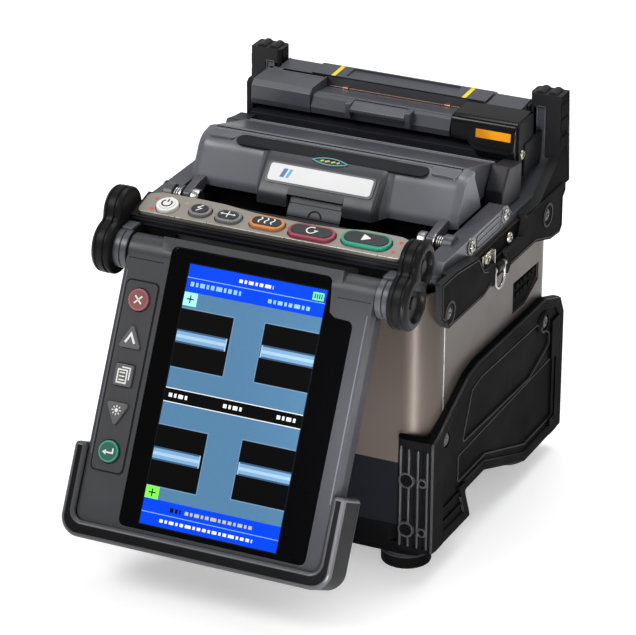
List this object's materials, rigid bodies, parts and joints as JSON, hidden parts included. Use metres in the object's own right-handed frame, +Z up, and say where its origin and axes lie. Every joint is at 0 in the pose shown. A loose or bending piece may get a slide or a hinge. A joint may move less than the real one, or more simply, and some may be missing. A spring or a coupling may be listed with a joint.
{
  "type": "fiber fusion splicer",
  "caption": "Portable fusion splicer: tilting colour monitor with side keys, sloped control strip, hinged windshield, tube heater with lid, rubber corner guards, sliding battery and feet.",
  "frame": {"origin": "centre of the bounding box on the floor plane, with the monitor hanging at its rest lean", "axes": "+Z up, +X to the user's right, +Y towards the heater at the rear; the monitor faces -Y"},
  "size_m": [0.1434, 0.2056, 0.1596],
  "materials": {
    "case_paint": "satin metallic paint",
    "dark_case": "matt",
    "guard_rubber": "soft matt rubber",
    "slate_plastic": "fine grained satin",
    "black_plastic": "satin",
    "gloss_black": "polished",
    "warm_plate": "satin",
    "steel": "polished",
    "machined_alloy": "satin",
    "brass": "machined",
    "ceramic_white": "matt",
    "circuit_board": "solder resist",
    "display_glass": "polished",
    "display_panel": "lit screen",
    "label_white": "satin",
    "key_grey": "satin",
    "key_red": "satin",
    "key_green": "satin",
    "button_white": "satin",
    "button_orange": "satin",
    "button_crimson": "satin",
    "button_green": "satin"
  },
  "bodies": {
    "case": {"base_tray": "dark_case", "tripod_insert": "brass", "feet": "guard_rubber", "lower_case": "dark_case", "front_shell": "case_paint", "side_panel_left": "case_paint", "side_panel_right": "case_paint", "rear_panel": "dark_case", "guard_left": "guard_rubber", "guard_right": "guard_rubber", "rail_left": "guard_rubber", "rail_right": "guard_rubber", "screws": "steel", "side_frame_left": "slate_plastic", "side_frame_right": "slate_plastic", "control_housing": "black_plastic", "control_plate": "warm_plate", "hinge_boots": "guard_rubber", "hinge_pins": "steel", "top_deck": "black_plastic", "windshield_springs": "steel", "heater_base": "slate_plastic", "heater_cover_left": "slate_plastic", "heater_cover_right": "gloss_black", "splice_block": "machined_alloy", "v_grooves": "ceramic_white", "electrodes": "steel", "objective_lenses": "steel", "main_board": "circuit_board", "power_unit": "machined_alloy", "shield_motor": "machined_alloy", "rear_sockets": "black_plastic"},
    "monitor": {"monitor_bezel": "slate_plastic", "monitor_back": "slate_plastic", "monitor_glass": "display_glass", "lcd_panel": "display_panel", "keypad_strip": "black_plastic", "monitor_bumper": "guard_rubber"},
    "windshield_front": {"windshield_front": "slate_plastic", "name_plate": "label_white"},
    "windshield_rear": {"windshield_rear": "slate_plastic"},
    "heater_lid": {"heater_lid": "slate_plastic", "heater_handle": "slate_plastic"},
    "heater_clamps": {"heater_clamps": "slate_plastic"},
    "battery": {"battery_pack": "black_plastic"},
    "strap_ring_left": {"strap_ring_left": "steel"},
    "strap_ring_right": {"strap_ring_right": "steel"},
    "fiber_clamp_left": {"fiber_clamp_left": "black_plastic"},
    "fiber_clamp_right": {"fiber_clamp_right": "black_plastic"},
    "key_escape": {"key_escape": "key_red"},
    "key_up_arrow": {"key_up_arrow": "key_grey"},
    "key_menu": {"key_menu": "key_grey"},
    "key_down_arrow": {"key_down_arrow": "key_grey"},
    "key_enter": {"key_enter": "key_green"},
    "button_power": {"button_power": "button_white"},
    "button_arc": {"button_arc": "key_grey"},
    "button_axis": {"button_axis": "key_grey"},
    "button_heat": {"button_heat": "button_orange"},
    "button_reset": {"button_reset": "button_crimson"},
    "button_set": {"button_set": "button_green"}
  },
  "joints": [
    {"name": "monitor_hinge", "type": "hinge", "parent": "case", "child": "monitor", "pos_m": [0, -0.0442, 0.1215], "axis": [-1, 0, 0], "range_deg": [-24, 130]},
    {"name": "windshield_front_hinge", "type": "hinge", "parent": "case", "child": "windshield_front", "pos_m": [0, 0.0023, 0.126], "axis": [1, 0, 0], "range_deg": [0, 75]},
    {"name": "windshield_rear_hinge", "type": "hinge", "parent": "case", "child": "windshield_rear", "pos_m": [0, 0.0608, 0.1305], "axis": [-1, 0, 0], "range_deg": [0, 50]},
    {"name": "heater_lid_hinge", "type": "hinge", "parent": "case", "child": "heater_lid", "pos_m": [0, 0.0984, 0.1483], "axis": [-1, 0, 0], "range_deg": [0, 80]},
    {"name": "heater_clamp_hinge", "type": "hinge", "parent": "case", "child": "heater_clamps", "pos_m": [0, 0.0984, 0.1483], "axis": [-1, 0, 0], "range_deg": [0, 60]},
    {"name": "battery_slide", "type": "slide", "parent": "case", "child": "battery", "axis": [0, 1, 0], "range_m": [0, 0.06]},
    {"name": "strap_ring_left_hinge", "type": "hinge", "parent": "case", "child": "strap_ring_left", "pos_m": [-0.0696, 0.0293, 0.1084], "axis": [0, 1, 0], "range_deg": [0, 80]},
    {"name": "strap_ring_right_hinge", "type": "hinge", "parent": "case", "child": "strap_ring_right", "pos_m": [0.0696, 0.0293, 0.1084], "axis": [0, -1, 0], "range_deg": [0, 80]},
    {"name": "fiber_clamp_left_hinge", "type": "hinge", "parent": "case", "child": "fiber_clamp_left", "pos_m": [-0.027, 0.047, 0.1268], "axis": [-1, 0, 0], "range_deg": [0, 46]},
    {"name": "fiber_clamp_right_hinge", "type": "hinge", "parent": "case", "child": "fiber_clamp_right", "pos_m": [0.027, 0.047, 0.1268], "axis": [-1, 0, 0], "range_deg": [0, 46]},
    {"name": "key_escape_press", "type": "slide", "parent": "monitor", "child": "key_escape", "axis": [0, 0.8942, -0.4478], "range_m": [0, 0.0006], "stiffness_N_per_m": 400, "springref_m": -0.0005},
    {"name": "key_up_arrow_press", "type": "slide", "parent": "monitor", "child": "key_up_arrow", "axis": [0, 0.8942, -0.4478], "range_m": [0, 0.0006], "stiffness_N_per_m": 400, "springref_m": -0.0005},
    {"name": "key_menu_press", "type": "slide", "parent": "monitor", "child": "key_menu", "axis": [0, 0.8942, -0.4478], "range_m": [0, 0.0006], "stiffness_N_per_m": 400, "springref_m": -0.0005},
    {"name": "key_down_arrow_press", "type": "slide", "parent": "monitor", "child": "key_down_arrow", "axis": [0, 0.8942, -0.4478], "range_m": [0, 0.0006], "stiffness_N_per_m": 400, "springref_m": -0.0005},
    {"name": "key_enter_press", "type": "slide", "parent": "monitor", "child": "key_enter", "axis": [0, 0.8942, -0.4478], "range_m": [0, 0.0006], "stiffness_N_per_m": 400, "springref_m": -0.0005},
    {"name": "button_power_press", "type": "slide", "parent": "case", "child": "button_power", "axis": [0, 0.2419, -0.9703], "range_m": [0, 0.0008], "stiffness_N_per_m": 400, "springref_m": -0.0005},
    {"name": "button_arc_press", "type": "slide", "parent": "case", "child": "button_arc", "axis": [0, 0.2419, -0.9703], "range_m": [0, 0.0008], "stiffness_N_per_m": 400, "springref_m": -0.0005},
    {"name": "button_axis_press", "type": "slide", "parent": "case", "child": "button_axis", "axis": [0, 0.2419, -0.9703], "range_m": [0, 0.0008], "stiffness_N_per_m": 400, "springref_m": -0.0005},
    {"name": "button_heat_press", "type": "slide", "parent": "case", "child": "button_heat", "axis": [0, 0.2419, -0.9703], "range_m": [0, 0.0008], "stiffness_N_per_m": 400, "springref_m": -0.0005},
    {"name": "button_reset_press", "type": "slide", "parent": "case", "child": "button_reset", "axis": [0, 0.2419, -0.9703], "range_m": [0, 0.0008], "stiffness_N_per_m": 400, "springref_m": -0.0005},
    {"name": "button_set_press", "type": "slide", "parent": "case", "child": "button_set", "axis": [0, 0.2419, -0.9703], "range_m": [0, 0.0008], "stiffness_N_per_m": 400, "springref_m": -0.0005}
  ],
  "couplings": [
    {"joint": "windshield_rear_hinge", "follows": "windshield_front_hinge", "ratio": 0.66},
    {"joint": "fiber_clamp_left_hinge", "follows": "windshield_front_hinge", "ratio": 0.6},
    {"joint": "fiber_clamp_right_hinge", "follows": "windshield_front_hinge", "ratio": 0.6}
  ]
}
